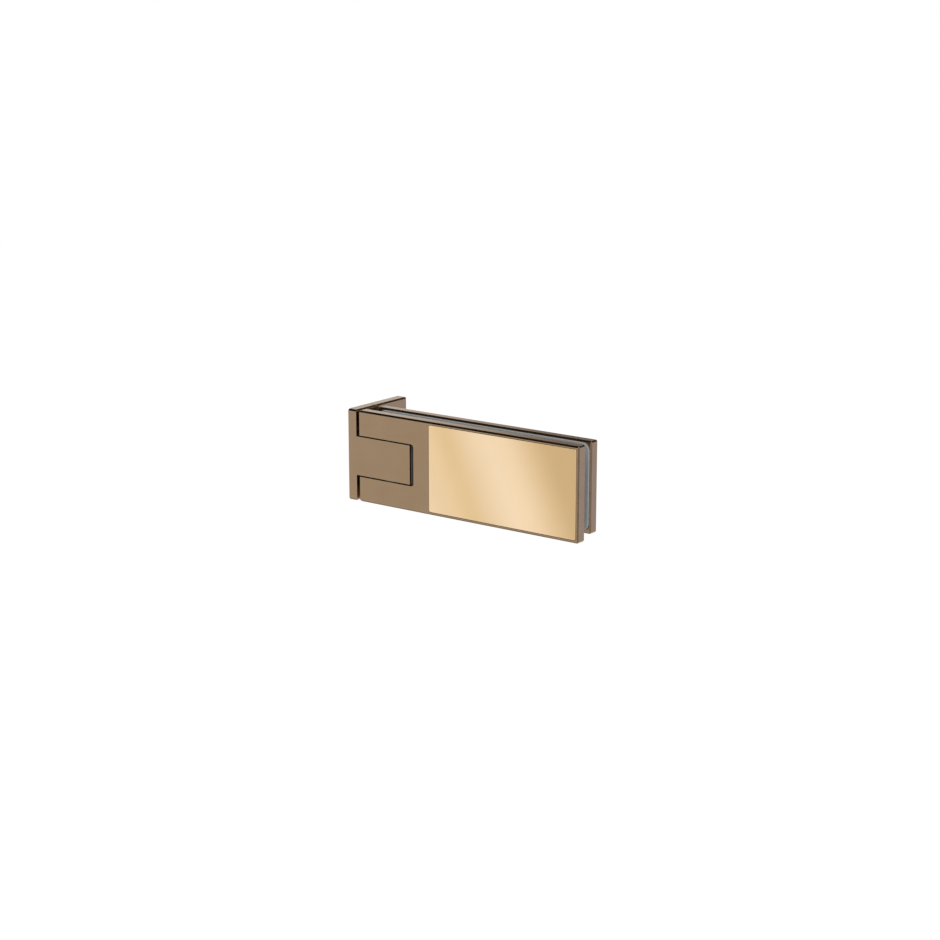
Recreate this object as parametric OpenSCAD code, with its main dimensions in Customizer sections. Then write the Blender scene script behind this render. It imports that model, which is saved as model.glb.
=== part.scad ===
// Lift hinge for a glass door: a knuckle carrier slides up a wall plate as the leaf turns open,
// driven by a helical face cam round the pivot pin. Millimetres, +Z up.
// X = 0 is the wall face, Y = 0 is the middle of the glass, Z = 0 is mid-height, -Y is the front.

/* [Glass] */
// Thickness of the glass that the leaf clamps
glass_t = 8; // [6:0.5:10]
// Thickness of each grey pad
pad_t = 1; // [0.6:0.1:1.6]
// How far the pads stay inside the rear plate's outline
pad_inset = 1; // [0.8:0.1:3]
// Corner radius of the pads
pad_corner_r = 4; // [2:0.5:6]

/* [Leaf] */
// Length of the front plate
leaf_len = 130.5; // [115:0.5:160]
// Height of the front plate, the carrier and the wall plate
leaf_h = 46; // [44:0.5:56]
// Thickness of the front plate
front_t = 5; // [4.8:0.1:6]
// Thickness of the rear plate
rear_t = 5.5; // [5:0.1:7]
// How much shorter the rear plate is at its free end
rear_short = 3.2; // [1:0.1:8]
// How far the rear plate's long edges lie inside those of the front plate
rear_inset = 0.75; // [0.25:0.25:2]
// Bevel along the outer edges of the plates
edge_bevel = 0.8; // [0.3:0.1:0.9]
// Smaller bevel at the leaf's wall end, which passes close to the strip
slot_bevel = 0.3; // [0.2:0.05:0.6]

/* [Wall side] */
// Thickness of the strip and the wall plate
wall_t = 5.35; // [5.2:0.05:6.5]
// Depth of the wall side, from its front face to its rear end
wall_depth = 40; // [36:0.5:50]
// Slot between the strip and the leaf
wall_slot = 1.7; // [1.5:0.1:2.5]
// Thickness of the part of the wall plate that the carrier slides on
guide_t = 2.2; // [2:0.1:2.3]
// Depth of the carrier, from its front face to the seam with the wall plate
carrier_depth = 15.5; // [15.5:0.1:18]
// Thickness of the carrier's front lip, which covers the edge of the wall plate
lip_t = 1.8; // [1.2:0.1:2.4]
// Radius of the wall screw holes
wall_hole_r = 2.6; // [2:0.1:3.2]
// Radius of their countersinks
wall_sink_r = 5; // [4:0.1:5.6]
// Distance between the wall screw holes
wall_hole_spacing = 28; // [20:1:32]
// Distance of the wall screw holes from the wall plate's rear end
wall_hole_inset = 12; // [9:0.5:15]

/* [Knuckle] */
// Length of the tongue, from the strip to its free end
tongue_len = 33.55; // [32:0.05:36]
// Height of the tongue
tongue_h = 19.6; // [18:0.1:22]
// Thickness of the tongue's front face
skin_t = 1.2; // [0.8:0.1:1.4]
// Thickness of the plastic sleeve round the tongue
sleeve_t = 1; // [0.8:0.1:1.1]
// Depth of the knuckle block, from the front face to its rear cover
core_depth = 14; // [14:0.1:14.4]
// Thickness of the rear cover
rear_cover_t = 1.5; // [1:0.1:1.5]
// Gap between the tongue and the leaf, above and below
tongue_gap = 0.6; // [0.5:0.05:1]
// Gap at the free end of the tongue
tongue_end_gap = 2.2; // [2:0.1:3]
// Corner radius of the cut-out in the plates
cutout_corner_r = 1.5; // [0.5:0.1:2]
// Radius of the rear cover screws
cover_screw_r = 1.25; // [1:0.05:1.5]

/* [Pivot and lift] */
// Radius of the pivot pin
pin_r = 3; // [2.6:0.1:3.2]
// Distance of the pivot axis from the leaf's wall end
axis_from_end = 17; // [16.8:0.1:17.4]
// Distance of the pivot axis behind the front face
axis_depth = 7.5; // [7.4:0.05:7.6]
// Rise of the leaf at a quarter turn
lift = 4.5; // [3.5:0.25:4.75]
// Outer radius of the two cam rings
cam_r = 5.7; // [5.2:0.1:5.8]
// Thickness of the lift collar above its ramps
collar_base = 1.8; // [1.6:0.1:2]
// Thickness of the fixed cam's ring and arm, below its ramps
ring_t = 2.4; // [1.8:0.1:3.2]
// Width of the fixed cam's arm
arm_w = 8; // [6:0.5:8.5]
// Outer radius of the pin's bushes
bush_r = 4.2; // [3.8:0.1:4.6]
// Radius of the bush flanges and thrust washers
flange_r = 5.5; // [5:0.1:5.8]
// How far the leaf's pin lugs stay inside its long edges
lug_inset = 4.5; // [4:0.1:6]
// Outer radius of the pin lugs
lug_r = 5.5; // [5:0.1:5.8]
// Radius of the grub screws that lock the pin
grub_r = 1.5; // [1.2:0.1:2]
// Radius of the dowel that locks the lift collar to the pin
dowel_r = 0.7; // [0.5:0.05:0.75]

/* [Guide] */
// Height of the dovetail guide rails above the wall plate
rail_t = 1.75; // [1.4:0.05:1.8]
// Width of the rails where they meet the wall plate
rail_root_w = 5; // [4.6:0.1:5.4]
// Width of the rails at their outer face
rail_tip_w = 7; // [6:0.1:7.4]
// Length of each rail
rail_len = 11.5; // [10:0.5:12]
// Distance of the rails from the fixed cam's foot
rail_foot_gap = 1; // [0.5:0.1:1.5]
// Thickness of the fixed cam's foot
foot_t = 2; // [1.6:0.1:2.1]
// Height of the fixed cam's foot
foot_h = 10; // [9:0.5:10.5]
// Radius of the small screws in the rails and the cam's foot
small_screw_r = 1; // [0.8:0.05:1.2]
// Distance between the two small screws in a rail or the foot
small_screw_pitch = 6; // [5:0.2:6.4]

/* [Cover plate] */
// Thickness of the cover plate
cover_t = 1.5; // [1:0.1:1.6]
// Width of the rim that the front plate shows round the cover plate
cover_rim = 1.55; // [1.2:0.05:3]
// Distance of the cover plate from the leaf's wall end
cover_start = 43.6; // [40:0.1:52]
// Corner radius of the cover plate
cover_corner_r = 1; // [0.4:0.1:2]
// Gap round the cover plate
cover_gap = 0.12; // [0.05:0.01:0.3]
// Radius of the magnets behind the cover plate
magnet_r = 3; // [2:0.1:4]
// Thickness of the magnets
magnet_t = 1.5; // [1:0.1:2]
// Distance of the magnets from the cover plate's edges
magnet_inset = 7; // [6:0.5:9]

/* [Clamp] */
// Radius of the clamp screws
clamp_r = 3; // [2.5:0.1:3.5]
// Radius of their countersunk heads
clamp_head_r = 5.6; // [5:0.1:6]
// Depth of their tapered heads
clamp_head_h = 2.6; // [2.2:0.1:2.8]
// Distance between the clamp screws
clamp_spacing = 48; // [40:1:56]
// How far the clamp screws reach into the rear plate
clamp_reach = 4.2; // [3.6:0.1:4.4]
// Outer radius of the sleeves in the glass holes
sleeve_r = 5.5; // [4.8:0.1:6.5]

/* [Fits] */
// Gap between sliding flat faces
slide_gap = 0.05; // [0.03:0.01:0.05]
// Radial gap between the pin and its bushes
running_gap = 0.05; // [0.03:0.01:0.08]
// Gap between pieces that are seated on each other
seat_gap = 0.02; // [0.01:0.01:0.03]
// Axial gap between the cam ramps
ramp_gap = 0.1; // [0.06:0.02:0.16]
// Open space round pieces that pass each other
clear_gap = 0.3; // [0.25:0.05:0.4]

/* [Hidden] */
$fn = 64;

bronze = [0.60, 0.51, 0.41];
gold = [0.91, 0.78, 0.58];
steel = [0.72, 0.73, 0.74];
dark_plastic = [0.22, 0.22, 0.22];
pad_grey = [0.51, 0.52, 0.53];
sleeve_white = [0.86, 0.86, 0.84];
bush_bronze = [0.66, 0.52, 0.33];

// a little more than nothing, so that cuts pass through
over = 0.5;

// depths along Y
slot_half = glass_t / 2;
front_back = -slot_half - pad_t;
front_face = front_back - front_t;
rear_front = slot_half + pad_t;
rear_back = rear_front + rear_t;
seam_y = front_face + carrier_depth;
core_back = front_face + core_depth;
wall_end = front_face + wall_depth;

// places along X
leaf_x0 = wall_t + wall_slot;
leaf_x1 = leaf_x0 + leaf_len;
rear_x1 = leaf_x1 - rear_short;
tongue_x1 = wall_t + tongue_len;
cutout_x1 = tongue_x1 + tongue_end_gap;
core_x1 = tongue_x1 - sleeve_t - seat_gap;
cover_x0 = leaf_x0 + cover_start;
cover_x1 = leaf_x1 - cover_rim;
cover_mid = (cover_x0 + cover_x1) / 2;

// heights
half_h = leaf_h / 2;
tongue_half = tongue_h / 2;
cutout_half = tongue_half + tongue_gap;
core_half = tongue_half - sleeve_t - seat_gap;
cover_half = half_h - cover_rim;
lug_end = half_h - lug_inset;
lug_h = lug_end - cutout_half;

// pivot and cam
axis_x = leaf_x0 + axis_from_end;
axis_y = front_face + axis_depth;
pocket_r = cam_r + clear_gap;
// the pocket holds the two cams and the rise, and the walls of the knuckle block are what it leaves
cam_floor_gap = clear_gap / 2;
pocket_half = (cam_floor_gap + lift + ring_t + lift + ramp_gap + collar_base + ramp_gap) / 2;
cam_bottom = -pocket_half + cam_floor_gap + lift;
ramp_low = cam_bottom + ring_t;
collar_bottom = ramp_low + lift + ramp_gap;
collar_top = collar_bottom + collar_base;
// the ramps climb over a quarter turn, and each cam has two
ramp_turn = 90;
// the fixed ramps stop a little short, to clear the collar's flanks
flank_play = 2;
ramp_steps = 22;

// guide
foot_mid = (cam_bottom + ramp_low) / 2;
foot_top = foot_mid + foot_h / 2;
foot_bottom = foot_mid - foot_h / 2;
upper_rail_z = foot_top + rail_foot_gap + rail_len / 2;
lower_rail_z = foot_bottom - rail_foot_gap - rail_len / 2;
small_head_r = 2 * small_screw_r;

// fasteners
// share of a screw's radius that its hexagon socket takes
socket_share = 0.7;
cover_screw_len = 3 * cover_screw_r;
clamp_x = [cover_mid - clamp_spacing / 2, cover_mid + clamp_spacing / 2];
recess_floor = front_face + cover_t + seat_gap;
rear_cover_screw_x = (axis_x + pocket_r + core_x1) / 2;
rear_cover_screw_z = core_half / 2;
grub_z = cutout_half + lug_h / 2;

// Box between two corners
module block(low, high) {
    translate(low) cube(high - low);
}

// Rectangle in X and Z with rounded corners
module rounded_rect(x0, z0, x1, z1, r) {
    translate([x0 + r, z0]) square([x1 - x0 - 2 * r, z1 - z0]);
    translate([x0, z0 + r]) square([x1 - x0, z1 - z0 - 2 * r]);
    for (x = [x0 + r, x1 - r], z = [z0 + r, z1 - r])
        translate([x, z]) circle(r);
}

// Extrudes an outline drawn in X and Z from one depth to another
module through_y(y0, y1) {
    translate([0, y1, 0]) rotate([90, 0, 0]) linear_extrude(y1 - y0) children();
}

// Round bar along Y
module bar_y(x, z, r, y0, y1) {
    translate([x, y0, z]) rotate([-90, 0, 0]) cylinder(r = r, h = y1 - y0);
}

// Round bar along X
module bar_x(y, z, r, x0, x1) {
    translate([x0, y, z]) rotate([0, 90, 0]) cylinder(r = r, h = x1 - x0);
}

// Tube round the pivot axis
module ring(r_out, r_in, z0, z1) {
    translate([axis_x, axis_y, z0]) difference() {
        cylinder(r = r_out, h = z1 - z0);
        translate([0, 0, -over]) cylinder(r = r_in, h = z1 - z0 + 2 * over);
    }
}

// Plate with bevels along its front and rear edges and at its four corners. The bevels along its wall end
// have a size of their own.
module bevelled_plate(x0, x1, y0, y1, half, front, rear, start) {
    corner = max(front, rear);
    start_front = front > 0 ? start : 0;
    start_rear = rear > 0 ? start : 0;
    intersection() {
        translate([0, 0, -half]) linear_extrude(2 * half)
            polygon([[x0 + start_front, y0], [x1 - front, y0], [x1, y0 + front], [x1, y1 - rear],
                     [x1 - rear, y1], [x0 + start_rear, y1], [x0, y1 - start_rear], [x0, y0 + start_front]]);
        translate([x0, 0, 0]) rotate([90, 0, 90]) linear_extrude(x1 - x0)
            polygon([[y0, front - half], [y0 + front, -half], [y1 - rear, -half], [y1, rear - half],
                     [y1, half - rear], [y1 - rear, half], [y0 + front, half], [y0, half - front]]);
        through_y(y0, y1)
            polygon([[x0 + corner, -half], [x1 - corner, -half], [x1, corner - half], [x1, half - corner],
                     [x1 - corner, half], [x0 + corner, half], [x0, half - corner], [x0, corner - half]]);
    }
}

// Outline of the wall side in X and Z, bevelled along its edges away from the wall
module wall_side_outline() {
    polygon([[0, -half_h], [wall_t - edge_bevel, -half_h], [wall_t, edge_bevel - half_h],
             [wall_t, half_h - edge_bevel], [wall_t - edge_bevel, half_h], [0, half_h]]);
}

// The U cut-out in which the tongue turns, open at the leaf's wall end
module tongue_cutout(y0, y1) {
    through_y(y0, y1) {
        rounded_rect(leaf_x0, -cutout_half, cutout_x1, cutout_half, cutout_corner_r);
        translate([leaf_x0 - over, -cutout_half])
            square([2 * cutout_corner_r + over, 2 * cutout_half]);
    }
}

// Small countersunk screw along X from its head to its tip, grown by a gap for its hole
module small_screw(z, head, tip, gap) {
    bar_x(axis_y, z, small_screw_r + gap, head, tip);
    translate([head, axis_y, z]) rotate([0, 90, 0])
        cylinder(r1 = small_head_r + gap, r2 = small_screw_r + gap, h = small_screw_r);
}

// Wedge between two radii about the pivot axis, from a flat face at z0 to a face that is low for
// flat_turn degrees and then climbs for climb_turn degrees. Angles run clockwise from above.
module ramp_wedge(start, flat_turn, climb_turn, z0, z_low) {
    flat_steps = flat_turn > 0 ? ramp_steps : 0;
    r_in = pin_r - clear_gap;
    r_out = cam_r + clear_gap;
    turns = [
        for (i = [0:1:flat_steps - 1]) i * flat_turn / ramp_steps,
        for (i = [0:ramp_steps]) flat_turn + i * climb_turn / ramp_steps
    ];
    count = len(turns);
    points = [
        for (t = turns, z = [z0, z_low + max(0, t - flat_turn) * lift / ramp_turn], r = [r_in, r_out])
            [axis_x + r * cos(start + t), axis_y - r * sin(start + t), z]
    ];
    // each station has four points: near and far on the flat face, then near and far on the climbing face
    sides = [
        for (i = [0:count - 2], f = [[0, 1], [1, 3], [3, 2], [2, 0]])
            [4 * i + f[0], 4 * i + 4 + f[0], 4 * i + 4 + f[1], 4 * i + f[1]]
    ];
    last = 4 * (count - 1);
    upright = concat(sides, [[0, 1, 3, 2], [last + 2, last + 3, last + 1, last]]);
    flipped = [for (f = upright) [f[3], f[2], f[1], f[0]]];
    polyhedron(points, z_low > z0 ? upright : flipped, convexity = 4);
}

// Small screw from its head at the wall face to its tip, with a hexagon socket
module small_socket_screw(z, tip) {
    difference() {
        small_screw(z, seat_gap, tip, 0);
        translate([seat_gap - over, axis_y, z]) rotate([0, 90, 0])
            cylinder(r = socket_share * small_screw_r, h = over + socket_share * small_screw_r, $fn = 6);
    }
}

// Plate fixed to the wall, thinner at the front where the carrier slides on it
module wall_plate() {
    color(bronze) difference() {
        intersection() {
            translate([0, 0, -half_h]) linear_extrude(leaf_h)
                polygon([[0, front_face + lip_t + clear_gap], [guide_t, front_face + lip_t + clear_gap],
                         [guide_t, seam_y + clear_gap], [wall_t, seam_y + clear_gap],
                         [wall_t, wall_end - edge_bevel], [wall_t - edge_bevel, wall_end], [0, wall_end]]);
            rotate([90, 0, 90]) linear_extrude(wall_t)
                polygon([[front_face, -half_h], [wall_end - edge_bevel, -half_h],
                         [wall_end, edge_bevel - half_h], [wall_end, half_h - edge_bevel],
                         [wall_end - edge_bevel, half_h], [front_face, half_h]]);
            through_y(front_face, wall_end) wall_side_outline();
        }
        for (side = [-1, 1]) {
            z = side * wall_hole_spacing / 2;
            y = wall_end - wall_hole_inset;
            bar_x(y, z, wall_hole_r, -over, wall_t + over);
            translate([wall_t - (wall_sink_r - wall_hole_r), y, z]) rotate([0, 90, 0])
                cylinder(r1 = wall_hole_r, r2 = wall_sink_r, h = wall_sink_r - wall_hole_r);
        }
        for (z = [upper_rail_z, lower_rail_z, foot_mid], side = [-1, 1])
            small_screw(z + side * small_screw_pitch / 2, 0, wall_t, seat_gap);
    }
}

// Outline of a dovetail rail in X and Y, grown by a gap for its groove
module dovetail(gap) {
    polygon([[guide_t + seat_gap - 2 * gap, axis_y - rail_root_w / 2 - gap],
             [guide_t + seat_gap - 2 * gap, axis_y + rail_root_w / 2 + gap],
             [guide_t + rail_t + 2 * gap, axis_y + rail_tip_w / 2 + 2 * gap],
             [guide_t + rail_t + 2 * gap, axis_y - rail_tip_w / 2 - 2 * gap]]);
}

// Two steel dovetail rails, above and below the cam's foot
module guide_rails() {
    color(steel) difference() {
        for (z = [upper_rail_z, lower_rail_z])
            translate([0, 0, z - rail_len / 2]) linear_extrude(rail_len) dovetail(0);
        for (z = [upper_rail_z, lower_rail_z], side = [-1, 1])
            bar_x(axis_y, z + side * small_screw_pitch / 2, small_screw_r + seat_gap, 0, wall_t);
    }
}

module guide_rail_screws() {
    color(steel) for (z = [upper_rail_z, lower_rail_z], side = [-1, 1])
        small_socket_screw(z + side * small_screw_pitch / 2, guide_t + rail_t);
}

// Fixed half of the face cam: a foot on the wall plate, an arm and a ring with two helical ramps
module fixed_lift_cam() {
    color(steel) difference() {
        union() {
            block([guide_t + seat_gap, axis_y - arm_w / 2, foot_bottom],
                  [guide_t + foot_t, axis_y + arm_w / 2, foot_top]);
            block([guide_t + seat_gap, axis_y - arm_w / 2, cam_bottom],
                  [axis_x, axis_y + arm_w / 2, ramp_low]);
            translate([axis_x, axis_y, cam_bottom]) cylinder(r = cam_r, h = ramp_low - cam_bottom);
            intersection() {
                for (start = [0, 180])
                    ramp_wedge(start, 0, ramp_turn - flank_play, ramp_low - over, ramp_low);
                translate([axis_x, axis_y, cam_bottom]) cylinder(r = cam_r, h = 2 * pocket_half);
            }
        }
        translate([axis_x, axis_y, cam_bottom - over])
            cylinder(r = pin_r + clear_gap, h = 2 * pocket_half);
        for (side = [-1, 1])
            bar_x(axis_y, foot_mid + side * small_screw_pitch / 2, small_screw_r + seat_gap,
                  0, guide_t + foot_t + over);
    }
}

module cam_foot_screws() {
    color(steel) for (side = [-1, 1])
        small_socket_screw(foot_mid + side * small_screw_pitch / 2, guide_t + foot_t);
}

// Strip and tongue in one piece, with the pocket for the cams open at the rear
module knuckle_carrier() {
    strip_x0 = guide_t + slide_gap;
    color(bronze) difference() {
        union() {
            intersection() {
                translate([0, 0, -half_h]) linear_extrude(leaf_h)
                    polygon([[clear_gap, front_face], [wall_t, front_face], [wall_t, seam_y],
                             [strip_x0, seam_y], [strip_x0, front_face + lip_t],
                             [clear_gap, front_face + lip_t]]);
                rotate([90, 0, 90]) linear_extrude(wall_t)
                    polygon([[front_face, edge_bevel - half_h], [front_face + edge_bevel, -half_h],
                             [seam_y, -half_h], [seam_y, half_h], [front_face + edge_bevel, half_h],
                             [front_face, half_h - edge_bevel]]);
                through_y(front_face, seam_y) wall_side_outline();
            }
            block([strip_x0, front_face, -tongue_half], [tongue_x1, front_face + skin_t, tongue_half]);
            block([strip_x0, front_face, -core_half], [core_x1, core_back, core_half]);
        }
        // round the cams, and open to the rear so that they can be put in
        translate([axis_x, axis_y, -pocket_half]) cylinder(r = pocket_r, h = 2 * pocket_half);
        block([wall_t, axis_y - arm_w / 2 - clear_gap, -pocket_half],
              [axis_x, core_back + over, pocket_half]);
        block([axis_x - over, axis_y, -pocket_half], [axis_x + pocket_r, core_back + over, pocket_half]);
        // for the arm, which stays behind as the carrier rises
        block([strip_x0 - over, axis_y - arm_w / 2 - clear_gap, cam_bottom - lift - cam_floor_gap],
              [wall_t + over, axis_y + arm_w / 2 + clear_gap, ramp_low + clear_gap]);
        block([strip_x0 - over, axis_y - arm_w / 2 - clear_gap, foot_bottom - lift - clear_gap],
              [guide_t + foot_t + clear_gap, axis_y + arm_w / 2 + clear_gap, foot_top + clear_gap]);
        // dovetail groove, open at the bottom and closed at the top
        translate([0, 0, -half_h - over])
            linear_extrude(half_h + over + upper_rail_z + rail_len / 2 + clear_gap) dovetail(slide_gap);
        translate([axis_x, axis_y, -half_h]) cylinder(r = bush_r, h = leaf_h);
        for (side = [-1, 1])
            bar_y(rear_cover_screw_x, side * rear_cover_screw_z, cover_screw_r + seat_gap,
                  core_back - cover_screw_len - clear_gap, core_back + over);
    }
}

// Dark plastic band round the top, end and bottom of the knuckle block
module knuckle_sleeve() {
    inner_half = tongue_half - sleeve_t;
    color(dark_plastic) difference() {
        block([wall_t + seat_gap, front_face + skin_t + seat_gap, -tongue_half],
              [tongue_x1, core_back, tongue_half]);
        block([wall_t - over, front_face, -inner_half], [tongue_x1 - sleeve_t, core_back + over, inner_half]);
        translate([axis_x, axis_y, -half_h]) cylinder(r = flange_r + seat_gap, h = leaf_h);
    }
}

// Plate that closes the cam pocket at the rear
module knuckle_rear_cover() {
    y0 = core_back + seat_gap;
    y1 = core_back + rear_cover_t;
    color(bronze) difference() {
        bevelled_plate(wall_t + seat_gap, tongue_x1 - seat_gap, y0, y1, tongue_half - seat_gap,
                       0, edge_bevel / 2, 0);
        for (side = [-1, 1]) {
            bar_y(rear_cover_screw_x, side * rear_cover_screw_z, cover_screw_r + seat_gap, y0 - over, y1 + over);
            translate([rear_cover_screw_x, y1 - cover_screw_r, side * rear_cover_screw_z]) rotate([-90, 0, 0])
                cylinder(r1 = cover_screw_r + seat_gap, r2 = 2 * cover_screw_r + seat_gap, h = cover_screw_r);
        }
    }
}

module rear_cover_screws() {
    y1 = core_back + rear_cover_t;
    socket_r = socket_share * cover_screw_r;
    color(steel) for (side = [-1, 1]) difference() {
        union() {
            bar_y(rear_cover_screw_x, side * rear_cover_screw_z, cover_screw_r,
                  core_back - cover_screw_len, y1 - cover_screw_r);
            translate([rear_cover_screw_x, y1 - cover_screw_r, side * rear_cover_screw_z]) rotate([-90, 0, 0])
                cylinder(r1 = cover_screw_r, r2 = 2 * cover_screw_r, h = cover_screw_r - seat_gap);
        }
        translate([rear_cover_screw_x, y1 - socket_r, side * rear_cover_screw_z]) rotate([-90, 0, 0])
            cylinder(r = socket_r, h = cover_screw_r, $fn = 6);
    }
}

// Flanged plain bearing in the knuckle block's wall
module bush() {
    color(bush_bronze) {
        ring(bush_r - seat_gap, pin_r + running_gap, pocket_half + seat_gap, core_half + 2 * seat_gap);
        ring(flange_r, pin_r + running_gap, core_half + seat_gap, tongue_half - running_gap);
    }
}

module upper_bush() {
    bush();
}

module lower_bush() {
    mirror([0, 0, 1]) bush();
}

// Lug behind the front plate that holds one end of the pin
module pin_lug() {
    translate([axis_x, axis_y, cutout_half]) cylinder(r = lug_r, h = lug_h);
    block([axis_x - lug_r, front_back - over, cutout_half], [axis_x + lug_r, axis_y, lug_end]);
}

// Front clamp plate with its pin lugs, the cut-out for the tongue and the recess for the cover plate
module front_plate() {
    color(bronze) difference() {
        union() {
            difference() {
                bevelled_plate(leaf_x0, leaf_x1, front_face, front_back, half_h, edge_bevel, 0, slot_bevel);
                tongue_cutout(front_face - over, front_back + over);
            }
            pin_lug();
            mirror([0, 0, 1]) pin_lug();
        }
        through_y(front_face - over, recess_floor)
            rounded_rect(cover_x0 - cover_gap, -cover_half - cover_gap, cover_x1 + cover_gap,
                         cover_half + cover_gap, cover_corner_r);
        for (x = clamp_x) {
            bar_y(x, 0, clamp_r + clear_gap, recess_floor - over, front_back + over);
            translate([x, recess_floor, 0]) rotate([-90, 0, 0])
                cylinder(r1 = clamp_head_r + seat_gap, r2 = clamp_r + seat_gap, h = clamp_head_h);
        }
        magnet_places(seat_gap);
        translate([axis_x, axis_y, -half_h]) cylinder(r = pin_r + seat_gap, h = leaf_h);
        for (side = [-1, 1])
            bar_y(axis_x, side * grub_z, grub_r + seat_gap, axis_y, axis_y + lug_r + over);
    }
}

// Polished plate that covers the clamp screws
module cover_plate() {
    color(gold) through_y(front_face, front_face + cover_t)
        rounded_rect(cover_x0, -cover_half, cover_x1, cover_half, cover_corner_r);
}

// Four discs let into the floor of the recess, grown by a gap for their pockets
module magnet_places(gap) {
    for (x = [cover_x0 + magnet_inset, cover_x1 - magnet_inset], side = [-1, 1])
        bar_y(x, side * (cover_half - magnet_inset), magnet_r + gap, recess_floor + seat_gap - gap,
              recess_floor + magnet_t + gap);
}

module cover_magnets() {
    color(steel) magnet_places(0);
}

// Rear clamp plate, with blind threads for the clamp screws
module rear_plate() {
    color(bronze) difference() {
        bevelled_plate(leaf_x0, rear_x1, rear_front, rear_back, half_h - rear_inset,
                       edge_bevel, edge_bevel, slot_bevel);
        tongue_cutout(rear_front - over, rear_back + over);
        for (x = clamp_x)
            bar_y(x, 0, clamp_r + seat_gap, rear_front - over, rear_front + clamp_reach + seat_gap);
    }
}

// Soft pad between a plate and the glass, open round the pin lugs
module pad(y0) {
    pad_half = half_h - rear_inset - pad_inset;
    notch_half = lug_end + clear_gap;
    notch_x1 = cutout_x1 + pad_inset;
    color(pad_grey) through_y(y0, y0 + pad_t) difference() {
        rounded_rect(leaf_x0 + pad_inset, -pad_half, rear_x1 - pad_inset, pad_half, pad_corner_r);
        rounded_rect(leaf_x0, -notch_half, notch_x1, notch_half, cutout_corner_r);
        translate([leaf_x0 - over, -notch_half]) square([2 * cutout_corner_r + over, 2 * notch_half]);
        for (x = clamp_x)
            translate([x, 0]) circle(clamp_r + seat_gap);
    }
}

module front_pad() {
    pad(front_back);
}

module rear_pad() {
    pad(slot_half);
}

// Countersunk screws under the cover plate, which draw the two plates together
module clamp_screws() {
    socket_r = socket_share * clamp_r;
    head_y = recess_floor + seat_gap;
    color(steel) for (x = clamp_x) difference() {
        union() {
            translate([x, head_y, 0]) rotate([-90, 0, 0])
                cylinder(r1 = clamp_head_r - seat_gap, r2 = clamp_r - seat_gap, h = clamp_head_h);
            bar_y(x, 0, clamp_r, head_y + clamp_head_h - seat_gap, rear_front + clamp_reach);
        }
        translate([x, head_y - over, 0]) rotate([-90, 0, 0])
            cylinder(r = socket_r, h = clamp_head_h, $fn = 6);
    }
}

// Plastic sleeves that keep the clamp screws off the glass
module screw_sleeves() {
    color(sleeve_white) for (x = clamp_x) difference() {
        bar_y(x, 0, sleeve_r, -slot_half, slot_half);
        bar_y(x, 0, clamp_r + running_gap, -slot_half - over, slot_half + over);
    }
}

// Pin held in the lugs, turning in the bushes
module pivot_pin() {
    pin_end = lug_end - seat_gap;
    nose = pin_r / 6;
    color(steel) difference() {
        translate([axis_x, axis_y, 0]) {
            translate([0, 0, nose - pin_end]) cylinder(r = pin_r, h = 2 * (pin_end - nose));
            for (side = [0, 1]) mirror([0, 0, side]) translate([0, 0, pin_end - nose])
                cylinder(r1 = pin_r, r2 = pin_r - nose, h = nose);
        }
        bar_x(axis_y, (collar_bottom + collar_top) / 2, dowel_r + seat_gap, axis_x - cam_r, axis_x + cam_r);
    }
}

// Turning half of the face cam, which climbs the fixed ramps
module lift_collar() {
    color(steel) difference() {
        union() {
            translate([axis_x, axis_y, collar_bottom]) cylinder(r = cam_r, h = collar_base);
            intersection() {
                for (start = [ramp_turn, ramp_turn + 180])
                    ramp_wedge(start, 180 - ramp_turn, ramp_turn, collar_bottom + over, ramp_low + ramp_gap);
                translate([axis_x, axis_y, ramp_low]) cylinder(r = cam_r, h = collar_top - ramp_low);
            }
        }
        translate([axis_x, axis_y, -half_h]) cylinder(r = pin_r + seat_gap, h = leaf_h);
        bar_x(axis_y, (collar_bottom + collar_top) / 2, dowel_r + seat_gap, axis_x - 2 * cam_r, axis_x + 2 * cam_r);
    }
}

module collar_dowel() {
    color(steel) bar_x(axis_y, (collar_bottom + collar_top) / 2, dowel_r,
                       axis_x - cam_r + seat_gap, axis_x + cam_r - seat_gap);
}

// Screws that lock the pin in its lugs, from behind
module pin_grub_screws() {
    y0 = axis_y + pin_r + seat_gap;
    y1 = axis_y + lug_r;
    color(steel) for (side = [-1, 1]) difference() {
        bar_y(axis_x, side * grub_z, grub_r, y0, y1);
        translate([axis_x, y1 - grub_r, side * grub_z]) rotate([-90, 0, 0])
            cylinder(r = socket_share * grub_r, h = 2 * grub_r, $fn = 6);
    }
}

// Washers between the lugs and the bush flanges
module thrust_washers() {
    color(sleeve_white) for (side = [0, 1]) mirror([0, 0, side])
        ring(flange_r - running_gap, pin_r + running_gap, tongue_half + running_gap, cutout_half - seat_gap);
}

wall_plate();
guide_rails();
guide_rail_screws();
fixed_lift_cam();
cam_foot_screws();
knuckle_carrier();
knuckle_sleeve();
knuckle_rear_cover();
rear_cover_screws();
upper_bush();
lower_bush();
front_plate();
cover_plate();
cover_magnets();
rear_plate();
front_pad();
rear_pad();
clamp_screws();
screw_sleeves();
pivot_pin();
lift_collar();
collar_dowel();
pin_grub_screws();
thrust_washers();
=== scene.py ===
"""Looks of a lift hinge for a glass door: satin bronze plates, a polished gold cover, steel inside."""

from math import pi, radians

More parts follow.
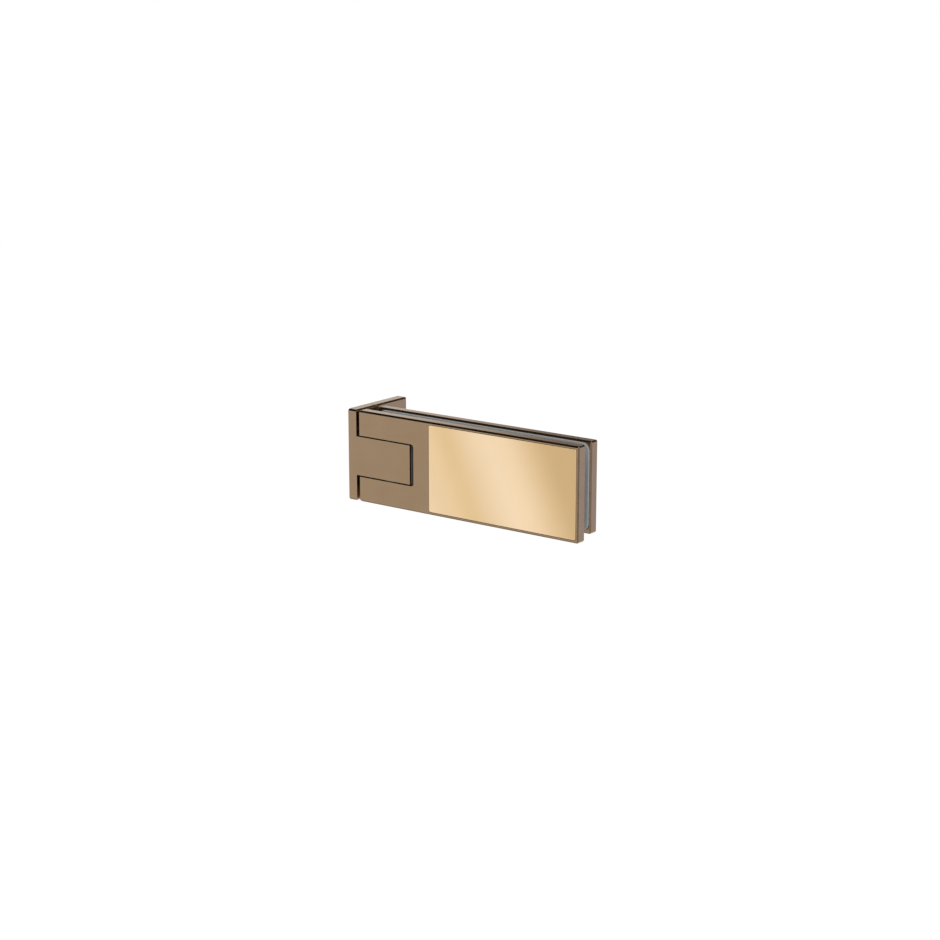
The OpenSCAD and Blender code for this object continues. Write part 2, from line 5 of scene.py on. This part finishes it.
import bmesh
import bpy
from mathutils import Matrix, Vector


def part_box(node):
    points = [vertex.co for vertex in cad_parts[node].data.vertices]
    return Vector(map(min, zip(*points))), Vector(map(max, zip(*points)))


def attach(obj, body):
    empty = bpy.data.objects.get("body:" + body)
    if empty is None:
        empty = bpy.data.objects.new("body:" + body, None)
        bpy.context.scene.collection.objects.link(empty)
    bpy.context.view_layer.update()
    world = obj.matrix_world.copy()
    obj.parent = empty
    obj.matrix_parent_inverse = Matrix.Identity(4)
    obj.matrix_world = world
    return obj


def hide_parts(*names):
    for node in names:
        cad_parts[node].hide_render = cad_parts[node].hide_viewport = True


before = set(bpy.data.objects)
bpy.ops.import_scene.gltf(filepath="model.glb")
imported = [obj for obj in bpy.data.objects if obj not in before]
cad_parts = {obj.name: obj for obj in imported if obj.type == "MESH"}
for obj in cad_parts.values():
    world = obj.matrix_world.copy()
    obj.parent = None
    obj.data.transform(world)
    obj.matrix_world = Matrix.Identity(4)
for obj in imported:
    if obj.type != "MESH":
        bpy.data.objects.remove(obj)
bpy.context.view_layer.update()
bpy.context.scene.view_settings.view_transform = "Standard"


# Wall plate: the bronze plate that is screwed to the wall, with the carrier sliding on its thin front half.
# It is milled from flat bar, deburred so that its edges are just off sharp, blasted to a satin and coated.

merge_gap = 2e-6
flat_angle = radians(0.5)
sharp_angle = radians(25)
edge_round = 0.0001
edge_steps = 2


class Shade:
    """One socket of a node tree, so that shader maths is written as expressions."""

    def __init__(self, tree, socket=None):
        self.tree = tree
        self.socket = socket

    def node(self, kind, settings, inputs, output=0):
        made = self.tree.nodes.new(kind)
        for name, value in settings.items():
            if name == "stops":
                stops = made.color_ramp.elements
                while len(stops) < len(value):
                    stops.new(1.0)
                while len(stops) > len(value):
                    stops.remove(stops[-1])
                for stop, (position, colour) in zip(stops, value):
                    stop.position = position
                    stop.color = (*colour, 1)
            else:
                setattr(made, name, value)
        for key, value in inputs.items():
            if isinstance(value, Shade):
                self.tree.links.new(value.socket, made.inputs[key])
            else:
                made.inputs[key].default_value = value
        return Shade(self.tree, made.outputs[output])

    def math(self, operation, *values):
        return self.node("ShaderNodeMath", {"operation": operation}, dict(enumerate(values)))

    def __add__(self, other):
        return self.math("ADD", self, other)

    def __sub__(self, other):
        return self.math("SUBTRACT", self, other)

    def __rsub__(self, other):
        return self.math("SUBTRACT", other, self)

    def __mul__(self, other):
        return self.math("MULTIPLY", self, other)

    __radd__ = __add__
    __rmul__ = __mul__

    def mix(self, low, high):
        """Colour that goes from low to high as this value goes from 0 to 1."""
        settings = {"data_type": "RGBA"}
        return self.node("ShaderNodeMix", settings, {0: self, 6: low, 7: high}, 2)


def srgb(red, green, blue):
    """Linear colour, with alpha, from the 8-bit levels that a screen shows."""
    levels = [c / 255 for c in (red, green, blue)]
    return (*[c / 12.92 if c <= 0.04045 else ((c + 0.055) / 1.055) ** 2.4 for c in levels], 1)


def new_finish(name, constants):
    """A material with some Principled sockets set, its shader node, and an empty Shade on its tree."""
    material = bpy.data.materials.new(name)
    material.use_nodes = True
    shader = material.node_tree.nodes["Principled BSDF"]
    for socket, value in constants.items():
        shader.inputs[socket].default_value = value
    return material, shader, Shade(material.node_tree)


def vary(shader, values):
    """Feeds sockets of a shader with values that change over the surface."""
    for socket, value in values.items():
        value.tree.links.new(value.socket, shader.inputs[socket])


def grain(shade, scale, detail=2.0):
    """Noise from 0 to 1 with that many cells to the metre."""
    place = shade.node("ShaderNodeTexCoord", {}, {}, "Object")
    return shade.node("ShaderNodeTexNoise", {}, {"Vector": place, "Scale": scale, "Detail": detail})


def bump(shade, height, strength, distance):
    """Normal of a surface that a height roughens, with the distance in metres."""
    return shade.node("ShaderNodeBump", {}, {"Height": height, "Strength": strength, "Distance": distance})


def stand_in(piece, node, body):
    """Puts a finished piece in the place of a CAD node."""
    bpy.context.scene.collection.objects.link(piece)
    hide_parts(node)
    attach(piece, body)


def deburred(name, body, material):
    """Stands for a CAD node with a copy whose sharp edges are slightly rounded."""
    solid = bmesh.new()
    solid.from_mesh(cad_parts[name].data)
    bmesh.ops.remove_doubles(solid, verts=solid.verts, dist=merge_gap)
    bmesh.ops.dissolve_limit(solid, angle_limit=flat_angle, verts=solid.verts, edges=solid.edges)
    solid.verts.index_update()
    mesh = bpy.data.meshes.new(name + "_deburred")
    mesh.from_pydata([v.co[:] for v in solid.verts], [], [[v.index for v in f.verts] for f in solid.faces])
    solid.free()
    mesh.materials.append(material)
    mesh.shade_smooth()
    mesh.set_sharp_from_angle(angle=sharp_angle)
    piece = bpy.data.objects.new(name + "_deburred", mesh)
    rounding = piece.modifiers.new("rounding", "BEVEL")
    rounding.width = edge_round
    rounding.segments = edge_steps
    rounding.limit_method = "ANGLE"
    rounding.angle_limit = sharp_angle
    rounding.use_clamp_overlap = False
    rounding.harden_normals = True
    stand_in(piece, name, body)


bronze, bronze_shader, shade = new_finish("satin_bronze", {"Metallic": 1.0})
blast = grain(shade, 6500)
cloud = grain(shade, 90)
vary(bronze_shader, {
    "Base Color": (cloud * 0.6 + blast * 0.4).mix(srgb(151, 128, 103), srgb(165, 141, 116)),
    "Roughness": blast * 0.08 + cloud * 0.04 + 0.18,
    "Normal": bump(shade, blast, 0.08, 0.00005),
})
deburred("wall_plate", "wall", bronze)


# Guide rails, fixed cam and their screws: ground steel pieces between the wall plate and the carrier.
# The rails are dovetail bars, and the cam is milled from one block, with two helical ramps on its ring.
# Both are held from the wall side by small countersunk screws with hexagon sockets and rolled threads.


def dress(material, *names):
    """Gives CAD nodes a material."""
    for name in names:
        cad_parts[name].material_slots[0].material = material


steel, steel_shader, shade = new_finish("steel", {"Metallic": 1.0})
scratch = grain(shade, 1500)
patch = grain(shade, 160)
vary(steel_shader, {
    "Base Color": patch.mix(srgb(176, 178, 181), srgb(200, 202, 205)),
    "Roughness": scratch * 0.14 + patch * 0.08 + 0.18,
    "Normal": bump(shade, scratch, 0.08, 0.00008),
})
dress(steel, "guide_rails", "fixed_lift_cam")

screw_tree = bpy.data.node_groups.new("threaded_screws", "GeometryNodeTree")
screw_tree.is_modifier = True
screw_tree.interface.new_socket(name="Places", in_out="INPUT", socket_type="NodeSocketGeometry")
screw_sizes = (
    "Shank radius", "Head radius", "Head height", "Length", "Pitch", "Socket radius", "Socket depth")
for name in screw_sizes:
    screw_tree.interface.new_socket(name=name, in_out="INPUT", socket_type="NodeSocketFloat")
screw_tree.interface.new_socket(name="Heading", in_out="INPUT", socket_type="NodeSocketVector")
screw_tree.interface.new_socket(name="Screws", in_out="OUTPUT", socket_type="NodeSocketGeometry")

blank_sides = 28
rows_per_turn = 8
thread_share = 0.55
tip_share = 0.5
key_sides = 6
tree = Shade(screw_tree)
entry = {name: tree.node("NodeGroupInput", {}, {}, name) for name in ("Places", "Heading", *screw_sizes)}
place = tree.node("GeometryNodeInputPosition", {}, {})
x, y, z = [tree.node("ShaderNodeSeparateXYZ", {}, {0: place}, axis) for axis in "XYZ"]
turns = tree.math("DIVIDE", entry["Length"], entry["Pitch"])
blank = tree.node("GeometryNodeMeshCylinder", {"fill_type": "NGON"}, {
    "Vertices": blank_sides, "Side Segments": turns * rows_per_turn, "Radius": 1.0, "Depth": entry["Length"]})
along = z + entry["Length"] * 0.5
past_head = along - entry["Head height"]
turned_by = tree.math("ARCTAN2", y, x) * (0.5 / pi)
phase = tree.math("FRACT", tree.math("DIVIDE", along, entry["Pitch"]) - turned_by)
groove = 1 - tree.math("ABSOLUTE", phase * 2 - 1)
run_in = tree.node("ShaderNodeMath", {"operation": "DIVIDE", "use_clamp": True}, {
    0: past_head, 1: entry["Pitch"]})
shank = entry["Shank radius"] - groove * run_in * entry["Pitch"] * thread_share
taper = tree.math("DIVIDE", entry["Head radius"] - entry["Shank radius"], entry["Head height"])
tip = tree.math("MAXIMUM", along - entry["Length"] + entry["Pitch"] * tip_share, 0.0)
radius = tree.math("MAXIMUM", shank, entry["Shank radius"] - past_head * taper) - tip
turned = tree.node("ShaderNodeCombineXYZ", {}, {0: x * radius, 1: y * radius, 2: along})
bolt = tree.node("GeometryNodeSetPosition", {}, {"Geometry": blank, "Position": turned})
key = tree.node("GeometryNodeMeshCylinder", {"fill_type": "NGON"}, {
    "Vertices": key_sides, "Radius": entry["Socket radius"], "Depth": entry["Socket depth"] * 2})
screw = tree.node("GeometryNodeMeshBoolean", {"operation": "DIFFERENCE", "solver": "EXACT"}, {
    0: bolt, 1: key})
pointing = tree.node("FunctionNodeEulerToRotation", {}, {0: entry["Heading"]})
placed = tree.node("GeometryNodeInstanceOnPoints", {}, {
    "Points": entry["Places"], "Instance": screw, "Rotation": pointing})
real = tree.node("GeometryNodeRealizeInstances", {}, {0: placed})
dressed = tree.node("GeometryNodeSetMaterial", {}, {"Geometry": real, "Material": steel})
screw_tree.links.new(dressed.socket, screw_tree.nodes.new("NodeGroupOutput").inputs[0])

# for each way that screws point: their axis, the end of their box with the heads, and their turn from +Z
ways = {
    "+X": (0, 0, (0, pi / 2, 0)),
    "+Y": (1, 0, (-pi / 2, 0, 0)),
    "-Y": (1, 1, (pi / 2, 0, 0)),
}


def corners(name):
    """Lowest and highest corner of a CAD node."""
    return [Vector(corner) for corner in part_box(name)]


def screws(name, body, way, row, sizes, pair_gap=None):
    """Stands for a CAD node with a row of threaded screws: one at each end of its box, or a pair there."""
    axis, head_end, heading = ways[way]
    row_axis = "XYZ".index(row)
    box = corners(name)
    first = (box[0] + box[1]) / 2
    first[axis] = box[head_end][axis]
    last = first.copy()
    first[row_axis] = box[0][row_axis] + sizes["Head radius"]
    last[row_axis] = box[1][row_axis] - sizes["Head radius"]
    places = [first, last]
    if pair_gap:
        step = pair_gap * (last - first).normalized()
        places += [first + step, last - step]
    mesh = bpy.data.meshes.new(name + "_places")
    mesh.from_pydata(places, [], [])
    host = bpy.data.objects.new(name + "_places", mesh)
    bpy.context.scene.collection.objects.link(host)
    maker = host.modifiers.new("screws", "NODES")
    maker.node_group = screw_tree
    values = {"Heading": heading, "Length": box[1][axis] - box[0][axis], **sizes}
    for socket in screw_tree.interface.items_tree:
        if socket.name in values:
            maker[socket.identifier] = values[socket.name]
    graph = bpy.context.evaluated_depsgraph_get()
    made = bpy.data.meshes.new_from_object(host.evaluated_get(graph), depsgraph=graph)
    host.modifiers.remove(maker)
    bpy.data.objects.remove(host)
    made.shade_smooth()
    made.set_sharp_from_angle(angle=sharp_angle)
    stand_in(bpy.data.objects.new(name + "_threaded", made), name, body)


small_screw = {
    "Shank radius": 0.000995, "Head radius": 0.001995, "Head height": 0.001,
    "Pitch": 0.0004, "Socket radius": 0.0007, "Socket depth": 0.0007,
}
rail_screw_gap = 0.006
screws("guide_rail_screws", "wall", "+X", "Z", small_screw, rail_screw_gap)
screws("cam_foot_screws", "wall", "+X", "Z", small_screw)


# Knuckle carrier: the bronze strip and tongue in one, which slides up the wall plate as the leaf opens.
# A dark plastic band wraps the knuckle block, and a thin bronze plate with two screws closes its rear.

plastic, plastic_shader, shade = new_finish("dark_plastic", {"Specular IOR Level": 0.4})
mould = grain(shade, 1800)
vary(plastic_shader, {
    "Base Color": mould.mix(srgb(86, 89, 90), srgb(98, 101, 102)),
    "Roughness": mould * 0.16 + 0.42,
    "Normal": bump(shade, mould, 0.10, 0.0001),
})
deburred("knuckle_carrier", "carrier", bronze)
deburred("knuckle_rear_cover", "carrier", bronze)
deburred("knuckle_sleeve", "carrier", plastic)
cover_screw = {
    "Shank radius": 0.001245, "Head radius": 0.002495, "Head height": 0.00123,
    "Pitch": 0.00045, "Socket radius": 0.000875, "Socket depth": 0.000855,
}
screws("rear_cover_screws", "carrier", "-Y", "Z", cover_screw)


# Bushes and thrust washers: sintered bronze bearings in the knuckle's walls, and pale plastic discs.
# The pin turns in the bushes, and the washers keep the leaf's lugs off their flanges.
# The clamp screws' sleeves are of the same pale plastic.

bearing, bearing_shader, shade = new_finish("bearing_bronze", {"Metallic": 1.0})
pores = grain(shade, 3200, 3.0)
vary(bearing_shader, {
    "Base Color": pores.mix(srgb(150, 112, 62), srgb(190, 150, 98)),
    "Roughness": pores * 0.2 + 0.34,
    "Normal": bump(shade, pores, 0.2, 0.0001),
})
pale, pale_shader, shade = new_finish("pale_plastic", {"Specular IOR Level": 0.45})
haze = grain(shade, 700)
vary(pale_shader, {
    "Base Color": haze.mix(srgb(212, 212, 206), srgb(226, 226, 221)),
    "Roughness": haze * 0.12 + 0.36,
})
dress(bearing, "upper_bush", "lower_bush")
dress(pale, "thrust_washers", "screw_sleeves")


# Clamp plates: the leaf's front and rear bronze plates, which hold the glass between them.
# They are milled from the same bar as the wall plate, bevelled along their outer edges and coated alike.

deburred("front_plate", "leaf", bronze)
deburred("rear_plate", "leaf", bronze)


# Cover plate: the mirror-polished gold sheet that hides the clamp screws, held by four magnets behind it.
# It is polished brass with a thin gold coat, so it carries soft reflections and the faintest waviness.

gold, gold_shader, shade = new_finish("polished_gold", {"Metallic": 1.0})
sheen = grain(shade, 60)
wipe = grain(shade, 900)
vary(gold_shader, {
    "Base Color": sheen.mix(srgb(243, 217, 180), srgb(248, 222, 186)),
    "Roughness": sheen * 0.015 + wipe * 0.015 + 0.03,
})
deburred("cover_plate", "leaf", gold)
dress(steel, "cover_magnets")


# Pads: grey rubber sheets between the plates and the glass, cut round the pin's lugs.
# They are punched from sheet, with a matt face that is slightly uneven.

rubber, rubber_shader, shade = new_finish("pad_grey", {"Specular IOR Level": 0.3})
nap = grain(shade, 1400, 3.0)
dust = grain(shade, 120)
vary(rubber_shader, {
    "Base Color": (nap * 0.5 + dust * 0.5).mix(srgb(136, 139, 141), srgb(154, 157, 159)),
    "Roughness": nap * 0.15 + 0.62,
    "Normal": bump(shade, nap, 0.15, 0.0001),
})
deburred("front_pad", "leaf", rubber)
deburred("rear_pad", "leaf", rubber)


# Clamp screws, pin and lift collar: turned steel pieces that carry the leaf.
# Grub screws lock the pin in its lugs, and a dowel locks the collar to the pin.

dress(steel, "pivot_pin", "lift_collar", "collar_dowel")
clamp_screw = {
    "Shank radius": 0.002995, "Head radius": 0.005575, "Head height": 0.0026,
    "Pitch": 0.001, "Socket radius": 0.0021, "Socket depth": 0.0021,
}
grub_screw = {
    "Shank radius": 0.001495, "Head radius": 0.001495, "Head height": 0.0001,
    "Pitch": 0.0005, "Socket radius": 0.00105, "Socket depth": 0.0015,
}
screws("clamp_screws", "leaf", "+Y", "X", clamp_screw)
screws("pin_grub_screws", "leaf", "-Y", "Z", grub_screw)


# Camera: at the place from which the edges of the hinge line up with the photograph's.
# It looks down on the hinge from the right and is not shifted.

look_down = radians(13.731)
look_left = radians(37.12)
camera_data = bpy.data.cameras.new("camera")
camera_data.lens = 79.58
camera_data.sensor_width = 36
camera = bpy.data.objects.new("camera", camera_data)
camera.location = (0.6518, -0.77143, 0.23635)
camera.rotation_euler = (pi / 2 - look_down, 0, look_left)
bpy.context.scene.collection.objects.link(camera)
bpy.context.scene.camera = camera


# Studio: a white surround, a pale floor well below the hinge, and one large soft lamp.
# Dark cards out of view, seen only in the metal, paint dark reflections: the bevels' dark lines. Glowing
# tinted cards, seen only in the metal, paint reflections: the cover's soft bands, the top faces' fade, and
# the tone of the free end and the lower bevels.


def seen_directly(shade):
    """1 for rays from the camera and for those that metal or glass sends on, 0 for the rest."""
    kinds = ("Is Camera Ray", "Is Glossy Ray", "Is Transmission Ray")
    camera_ray, glossy_ray, through_ray = [shade.node("ShaderNodeLightPath", {}, {}, k) for k in kinds]
    return shade.math("MAXIMUM", shade.math("MAXIMUM", camera_ray, glossy_ray), through_ray)


fill_level = 0.72
world = bpy.data.worlds.new("white_surround")
world.use_nodes = True
bpy.context.scene.world = world
surround = world.node_tree.nodes["Background"]
surround.inputs["Color"].default_value = (1, 1, 1, 1)
vary(surround, {"Strength": seen_directly(Shade(world.node_tree)) * (1 - fill_level) + fill_level})


def panel(name, centre, facing, width, height, material):
    """A flat card that faces a point."""
    half_w, half_h = width / 2, height / 2
    mesh = bpy.data.meshes.new(name)
    outline = [(-half_w, -half_h, 0), (half_w, -half_h, 0), (half_w, half_h, 0), (-half_w, half_h, 0)]
    mesh.from_pydata(outline, [], [(0, 1, 2, 3)])
    mesh.materials.append(material)
    made = bpy.data.objects.new(name, mesh)
    made.location = centre
    made.rotation_euler = (Vector(facing) - Vector(centre)).to_track_quat("Z", "Y").to_euler()
    bpy.context.scene.collection.objects.link(made)
    return made


floor_depth = 0.9
floor_width = 12.0
glow_level = 1.08
glow_share = 0.85
floor_white, floor_shader, shade = new_finish("floor_white", {
    "Base Color": (0.9, 0.9, 0.9, 1), "Roughness": 0.9, "Specular IOR Level": 0.1})
glow = shade.node("ShaderNodeEmission", {}, {"Color": (1, 1, 1, 1), "Strength": glow_level})
lit_by_lamps = Shade(floor_white.node_tree, floor_shader.outputs[0])
shown = shade.node("ShaderNodeMixShader", {}, {
    0: seen_directly(shade) * glow_share, 1: lit_by_lamps, 2: glow})
vary(floor_white.node_tree.nodes["Material Output"], {"Surface": shown})
panel("floor", (0, 0, -floor_depth), (0, 0, 1), floor_width, floor_width, floor_white)

lamp_data = bpy.data.lights.new("soft_box", "AREA")
lamp_data.shape = "SQUARE"
lamp_data.size = 1.1
lamp_data.energy = 22
lamp = bpy.data.objects.new("soft_box", lamp_data)
lamp.location = (1.0, -1.0, 1.3)
lamp.rotation_euler = (-lamp.location).to_track_quat("-Z", "Y").to_euler()
bpy.context.scene.collection.objects.link(lamp)


def tinted(name, stops, lean=0.0, span=1.0):
    """Material of a lit card whose colour changes across it, in bands that lean by a slope."""
    material = bpy.data.materials.new(name)
    material.use_nodes = True
    shade = Shade(material.node_tree)
    place = shade.node("ShaderNodeTexCoord", {}, {}, "Object")
    across, up = [shade.node("ShaderNodeSeparateXYZ", {}, {0: place}, axis) for axis in "XY"]
    along = (up * lean - across) * (1 / span) + 0.5
    tint = shade.node("ShaderNodeValToRGB", {"stops": stops}, {0: along})
    lit = shade.node("ShaderNodeEmission", {}, {"Color": tint})
    vary(material.node_tree.nodes["Material Output"], {"Surface": lit})
    return material


# near-black card seen only in the metal: it paints the dark reflections that make the bevels' dark lines
dark = new_finish("painted_dark_reflection_card", {"Roughness": 0.9, "Base Color": (0.004, 0.004, 0.004, 1)})[0]
# glowing cards seen only in the metal: the cool one paints a bluish reflection on the free end, the brown one
# a brown reflection on the lower bevels
cool = tinted("painted_end_tint_card", [(0.0, (0.78, 0.80, 0.94))])
brown = tinted("painted_bevel_tone_card", [(0.0, (0.42, 0.36, 0.28))])
# glowing card seen only in the metal: its colours paint the soft reflection bands on the polished cover
bands = tinted("painted_cover_reflection_bands", [
    (0.261, (0.95, 0.92, 0.86)),
    (0.296, (0.90, 0.86, 0.79)),
    (0.331, (0.905, 0.86, 0.745)),
    (0.383, (0.82, 0.745, 0.575)),
    (0.456, (0.94, 0.92, 0.89)),
    (0.504, (1.0, 1.0, 1.0)),
    (0.561, (0.97, 0.945, 0.905)),
    (0.623, (0.80, 0.73, 0.595)),
    (0.671, (0.675, 0.595, 0.45)),
], lean=0.355, span=0.4)
# glowing card seen only in the metal: its colours, dark brown to white, paint a reflected fade on the top
# faces
fade = tinted("painted_top_fade_reflection", [
    (0.137, (0.22, 0.17, 0.13)),
    (0.237, (0.27, 0.21, 0.17)),
    (0.447, (0.64, 0.57, 0.53)),
    (0.627, (0.86, 0.80, 0.75)),
    (0.747, (0.97, 0.94, 0.91)),
], span=0.4)

leaf_low, leaf_high = corners("front_plate")
cover_low, cover_high = corners("cover_plate")
front_back_y = corners("front_pad")[0].y
front_middle_y = (leaf_low.y + front_back_y) / 2
middle = Vector((leaf_high.x / 2, 0, 0))
cover_middle = (cover_low + cover_high) / 2
leaf_top = Vector(((leaf_low.x + leaf_high.x) / 2, front_middle_y, leaf_high.z))
leaf_end = Vector((leaf_high.x, front_middle_y, 0))
front = Vector((0, -1, 0))
top = Vector((0, 0, 1))
end = Vector((1, 0, 0))
far_reach = 1.5
near_reach = 0.9

# each card stands where the camera sees it mirrored in a face: a point on it, the way it faces,
# the card's distance from it, width and height, and its material
cards = {
    "flag_above": (middle, front + top, far_reach, 2.4, 2.4, dark),
    "flag_behind": (middle, end + top, far_reach, 0.9, 0.9, dark),
    "flag_right": (middle, end + front, far_reach, 0.36, 0.36, dark),
    "low_card": (middle, front - top, near_reach, 0.4, 0.4, brown),
    "band_card": (cover_middle, front, far_reach, 0.5, 0.24, bands),
    "top_card": (leaf_top, top, far_reach, 0.4, 1.1, fade),
    "end_card": (leaf_end, end, far_reach, 0.9, 0.9, cool),
}
for name, (point, way_out, distance, width, height, material) in cards.items():
    sight = (point - camera.location).normalized()
    centre = point + distance * sight.reflect(way_out.normalized())
    card = panel(name, centre, point, width, height, material)
    # the cards show only in the metal's reflections: no camera, diffuse or shadow ray sees them
    card.visible_camera = False
    card.visible_diffuse = False
    card.visible_shadow = False
